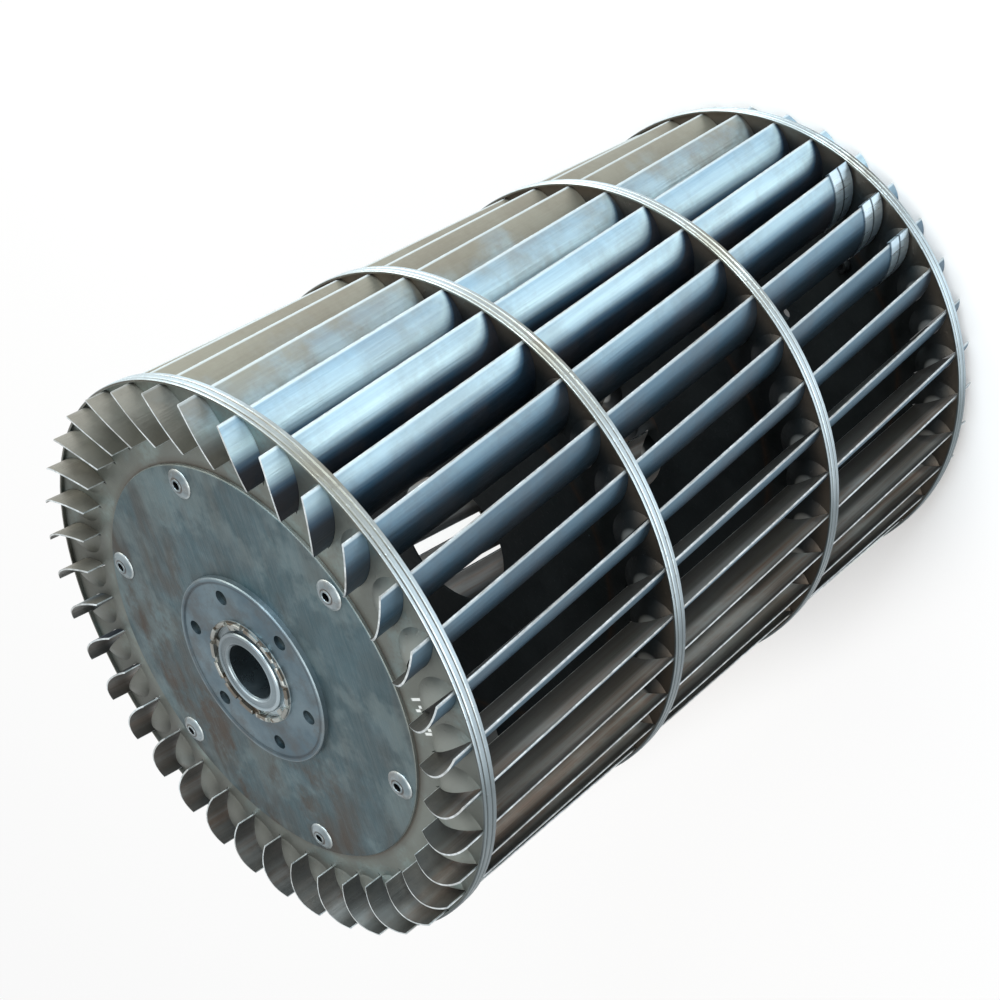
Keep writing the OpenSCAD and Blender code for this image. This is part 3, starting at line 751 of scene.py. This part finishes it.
def rivet_finish():
    """Pulled rivet: pale head with a rubbed outer edge, brown groove round the raised inner ring, painted
    shade that blackens the core's bore, and a dark tail, told apart by the turning map (radius and height
    in centimetres)."""
    mat, tree, shader, place = open_material("rivet steel")
    radius, height, _ = parts_of(tree, own_map(tree, "turning"))
    mottle = use(tree, MOTTLE, Place=place, Size=5 * MM)
    soil = use(tree, GRIME, Place=place, Size=10 * MM, Level=0.32)
    colour = blend(tree, mottle["Clouds"], *RIVET_STEEL)
    colour = blend(tree, steps(tree, radius, HEAD_RUBBED), colour, RIVET_RUBBED)
    colour = blend(tree, steps(tree, radius, HEAD_GROOVE), colour, RIVET_SOIL)
    colour = lay(tree, soil["Cover"], 0.5, colour, BROWN_SOIL)
    # painted shade: the core's bore black
    colour = blend(tree, steps(tree, radius, HEAD_CORE), colour, RIVET_BORE_SHADE)
    colour = blend(tree, between(tree, height, *RIVET_TAIL), colour, RIVET_INSIDE)
    rough = plus(tree, 0.34, times(tree, soil["Cover"], 0.2))
    close_material(tree, shader, colour, rough, mottle["Clouds"], depth=0.1 * MM, metal=0.9)
    return mat


# ---------------------------------------------------------------- pieces
blade_zinc, cut_edge = blade_finish(), edge_finish()
for number in range(1, BLADES + 1):
    points, faces, cut, sheet_map, place_map = blade_strip(number)
    piece = mesh_object("strip_%02d" % number, points, faces, sharp=35)
    lay_map(piece, "sheet", sheet_map)
    lay_map(piece, "place", place_map)
    piece.data.materials.append(blade_zinc)
    piece.data.materials.append(cut_edge)
    piece.data.polygons.foreach_set("material_index", cut.astype(np.int32))
    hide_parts("blade_%02d" % number)
    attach(piece, "root")

disc_zinc, flange_steel, bush_steel = disc_finish(), flange_finish(), bush_finish()
rivet_steel = rivet_finish()
for end, level, side in (("front", FRONT_RING_Z - RIM_LIP + DISC_T, 1),
                         ("rear", REAR_RING_Z - RIM_LIP - PLATE_T - DISC_T, -1)):
    piece = rivet_set(end + "_rivet_heads", level, side)
    piece.data.materials.append(rivet_steel)
    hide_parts(end + "_rivets")
    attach(piece, "root")

clip_steel = clip_finish()
FINISHES = {
    "front_disc": disc_zinc, "rear_disc": disc_zinc,
    "front_flange": flange_steel, "rear_flange": flange_steel,
    "front_bush": bush_steel, "rear_bush": bush_steel,
    "front_ring": ring_finish("front ring zinc", FRONT_RING_Z, marked=True),
    "middle_ring_upper": ring_finish("upper middle ring zinc", FRONT_RING_Z - RING_PITCH, dark=0.93),
    "middle_ring_lower": ring_finish("lower middle ring zinc", REAR_RING_Z + RING_PITCH, dark=0.93),
    "rear_ring": ring_finish("rear ring zinc", REAR_RING_Z, dark=0.9, rim_brown=REAR_RIM_BROWN)}

for node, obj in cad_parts.items():
    if node.startswith("blade_") or node.endswith("_rivets"):
        continue
    obj.data.materials.clear()
    obj.data.materials.append(FINISHES.get(node, clip_steel))

# ---------------------------------------------------------------- studio
CAMERA_AT = (0.56555, -0.05197, 0.64935)
CAMERA_RIGHT = (0.46383, -0.59276, -0.65840)
CAMERA_UP = (0.35632, 0.80524, -0.47394)
FOCAL_PX = 1538.46
CENTRE_PX = (516.9, 606.66)
FRAME_PX = 1000

WHITE = (1, 1, 1, 1)
FLOOR_PAINT = (0.9, 0.9, 0.9, 1)
FLOOR_REACH = 6.0
# length of the wheel's shadow behind its foot, the distance over which the floor turns from shadow
# to plain white, and the share of plain white at both ends
SHADOW_LENGTH = 0.55
SHADOW_EDGE = 0.11, 0.19
PLAIN_SHARE = 0.12, 0.88

LAMP_AIM = (0, 0, 0.18)
# name, place, side length, watts and colour
LAMPS = (("window", (1.15, 0.75, 0.85), 0.9, 28, (0.82, 0.93, 1.0)),
         ("warm side", (0.1, 1.5, 0.7), 1.0, 14, (1.0, 0.93, 0.80)),
         ("front fill", (0.7, -0.7, 1.3), 1.0, 9, (1.0, 0.97, 0.92)))
AMBIENT = 0.5


def photo_camera():
    """Camera from the solved place, the two solved directions and the focal length in pixels."""
    cam = bpy.data.cameras.new("photo camera")
    cam.sensor_width = 36
    cam.lens = FOCAL_PX * cam.sensor_width / FRAME_PX
    cam.shift_x = (FRAME_PX / 2 - CENTRE_PX[0]) / FRAME_PX
    cam.shift_y = (CENTRE_PX[1] - FRAME_PX / 2) / FRAME_PX
    obj = bpy.data.objects.new("photo camera", cam)
    right, up = Vector(CAMERA_RIGHT), Vector(CAMERA_UP)
    rows = Matrix((right, up, right.cross(up))).transposed().to_4x4()
    rows.translation = Vector(CAMERA_AT)
    obj.matrix_world = rows
    bpy.context.scene.collection.objects.link(obj)
    bpy.context.scene.camera = obj


def softbox(name, at, side, power, colour):
    """Square lamp that faces the middle of the wheel."""
    lamp = bpy.data.lights.new(name, "AREA")
    lamp.shape = "RECTANGLE"
    lamp.size, lamp.size_y = side, side
    lamp.energy = power
    lamp.color = colour
    obj = bpy.data.objects.new(name, lamp)
    obj.location = at
    obj.rotation_euler = (Vector(LAMP_AIM) - Vector(at)).to_track_quat("-Z", "Y").to_euler()
    bpy.context.scene.collection.objects.link(obj)


def seen_as_background(tree):
    """1 for rays from the camera, mirrors and glass, 0 for the light that falls on the object."""
    path = put(tree, "ShaderNodeLightPath").outputs
    seen = maths(tree, "MAXIMUM", path["Is Camera Ray"], path["Is Glossy Ray"])
    return maths(tree, "MAXIMUM", seen, path["Is Transmission Ray"])


def white_floor():
    """Flat white floor: most of what the camera sees is plain white, and the strip behind the wheel
    and around its foot, where the wheel's own shadow falls, is left to the lamps. The distance is
    taken from the line that runs from the foot to -X for the shadow's length."""
    s = FLOOR_REACH
    floor = mesh_object("studio floor", np.array([[-s, -s, 0], [s, -s, 0], [s, s, 0], [-s, s, 0]]),
                        [[0, 1, 2, 3]], sharp=0)
    mat, tree, shader, place = open_material("floor white")
    shader.inputs["Base Color"].default_value = FLOOR_PAINT
    shader.inputs["Roughness"].default_value = 0.9
    glow = put(tree, "ShaderNodeEmission", {"Color": WHITE, "Strength": 1.0}).outputs[0]
    part = parts_of(tree, place)
    foot = maths(tree, "MINIMUM", maths(tree, "MAXIMUM", part[0], -SHADOW_LENGTH), 0.0)
    from_foot = put(tree, "ShaderNodeCombineXYZ", {0: less(tree, part[0], foot), 1: part[1]})
    away = put(tree, "ShaderNodeVectorMath", {0: from_foot.outputs[0]}, operation="LENGTH").outputs["Value"]
    share = times(tree, seen_as_background(tree), between(tree, away, *SHADOW_EDGE, *PLAIN_SHARE))
    mix = put(tree, "ShaderNodeMixShader", {0: share, 1: shader.outputs[0], 2: glow}).outputs[0]
    tree.links.new(mix, tree.nodes["Material Output"].inputs["Surface"])
    floor.data.materials.append(mat)


def studio_world():
    """Even white surroundings: full white as background, a plain level as light."""
    world = bpy.data.worlds.new("studio")
    bpy.context.scene.world = world
    world.use_nodes = True
    tree = world.node_tree
    back = tree.nodes["Background"]
    back.inputs["Color"].default_value = WHITE
    tree.links.new(between(tree, seen_as_background(tree), 0.0, 1.0, AMBIENT, 1.0), back.inputs["Strength"])


photo_camera()
white_floor()
studio_world()
for lamp in LAMPS:
    softbox(*lamp)

bpy.context.scene.view_settings.view_transform = "Standard"
